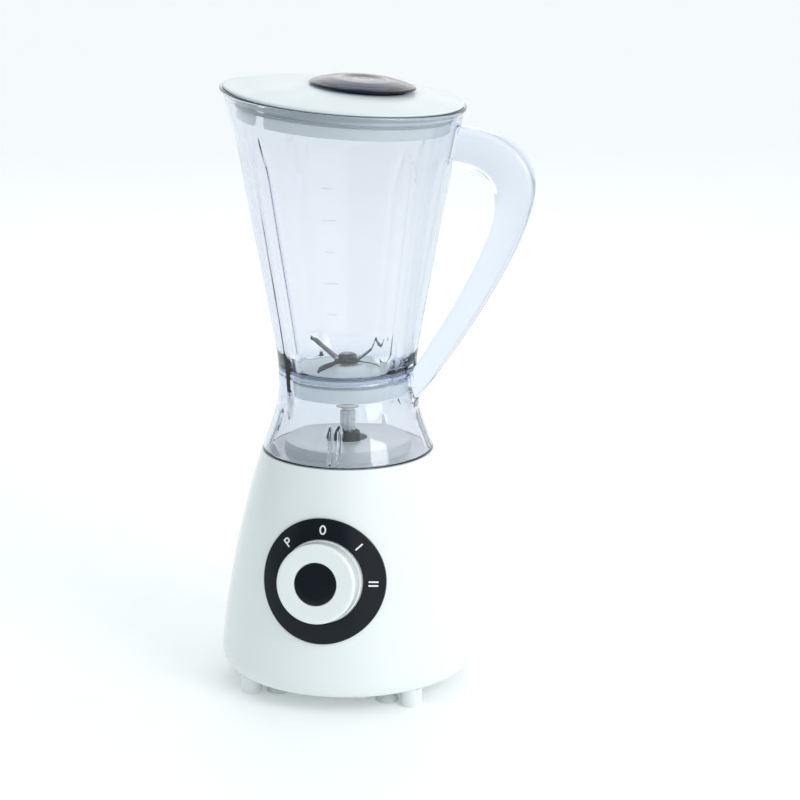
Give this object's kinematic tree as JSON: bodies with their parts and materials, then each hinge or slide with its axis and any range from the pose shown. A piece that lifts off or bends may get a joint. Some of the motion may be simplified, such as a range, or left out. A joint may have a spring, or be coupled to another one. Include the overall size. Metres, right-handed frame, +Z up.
{
  "type": "countertop blender",
  "caption": "Countertop blender with a conical motor base, rotary dial, clear fluted jug with handle, four-tip blade, sloping lid and measuring cap.",
  "frame": {"origin": "middle of the bounding box, on the surface the feet stand on", "axes": "+Z up, the dial faces -Y, the jug's handle points to +X and its spout to -X"},
  "size_m": [0.1988, 0.1752, 0.3872],
  "materials": {
    "white_gloss": "gloss moulded",
    "grey_rubber": "soft matt",
    "black_gloss": "gloss",
    "black_rubber": "matt",
    "dark_plastic": "matt",
    "steel": "brushed",
    "lamination": "dull",
    "copper": "lacquered winding",
    "brass": "satin",
    "capacitor_film": "dipped",
    "clear_jug": "clear with a blue-violet tint",
    "clear_blue": "clear with dark blue edges",
    "frosted_plastic": "frosted"
  },
  "bodies": {
    "base": {"base_housing": "white_gloss", "base_bottom_cover": "white_gloss", "foot_front_left": "white_gloss", "foot_front_right": "white_gloss", "foot_rear_left": "white_gloss", "foot_rear_right": "white_gloss", "suction_cup_front_left": "grey_rubber", "suction_cup_front_right": "grey_rubber", "suction_cup_rear_left": "grey_rubber", "suction_cup_rear_right": "grey_rubber", "cover_screw_1": "steel", "cover_screw_2": "steel", "cover_screw_3": "steel", "cover_screw_4": "steel", "dial_ring": "black_gloss", "cord_gland": "black_rubber", "rotary_switch": "dark_plastic", "switch_nut": "steel", "stator_core": "lamination", "field_coil_left": "copper", "field_coil_right": "copper", "upper_bearing_bracket": "lamination", "lower_bearing_bracket": "lamination", "upper_bearing": "steel", "lower_bearing": "steel", "carbon_brush_front": "dark_plastic", "carbon_brush_rear": "dark_plastic", "brush_holder_front": "brass", "brush_holder_rear": "brass", "motor_mount_left": "black_rubber", "motor_mount_right": "black_rubber", "terminal_block": "dark_plastic", "suppressor_capacitor": "capacitor_film", "cord_clamp": "dark_plastic"},
    "rotor": {"motor_shaft": "steel", "rotor_core": "lamination", "commutator": "copper", "cooling_fan": "dark_plastic", "splash_slinger": "black_rubber", "drive_coupling": "black_rubber"},
    "dial": {"knob": "white_gloss", "knob_cap": "black_gloss", "switch_shaft": "steel"},
    "jug": {"jug_body": "clear_jug", "jug_handle": "clear_jug", "blade_carrier": "frosted_plastic", "carrier_gasket": "grey_rubber", "spindle_bush": "brass"},
    "blades": {"blade_spindle": "steel", "blade_washer": "steel", "lower_blade": "steel", "upper_blade": "steel", "blade_nut": "steel"},
    "lid": {"lid": "white_gloss", "lid_seal": "grey_rubber"},
    "cap": {"measuring_cap": "clear_blue"}
  },
  "joints": [
    {"name": "motor_spin", "type": "hinge", "parent": "base", "child": "rotor", "pos_m": [-0.01775, 0.00334, 0.1037], "axis": [0, 0, 1], "continuous": true},
    {"name": "dial_turn", "type": "hinge", "parent": "base", "child": "dial", "pos_m": [-0.01775, -0.0686, 0.0855], "axis": [0, 0.9794, -0.2017], "range_deg": [-45, 90]},
    {"name": "jug_lift", "type": "slide", "parent": "base", "child": "jug", "axis": [0, 0, 1], "range_m": [0, 0.07]},
    {"name": "blade_spin", "type": "hinge", "parent": "jug", "child": "blades", "pos_m": [-0.01775, 0.00334, 0.2037], "axis": [0, 0, 1], "continuous": true},
    {"name": "lid_lift", "type": "slide", "parent": "jug", "child": "lid", "axis": [0.0768, 0, 0.997], "range_m": [0, 0.06]},
    {"name": "cap_lift", "type": "slide", "parent": "lid", "child": "cap", "axis": [0.0768, 0, 0.997], "range_m": [0, 0.04]}
  ],
  "couplings": [
    {"joint": "blade_spin", "follows": "motor_spin", "ratio": 1}
  ]
}
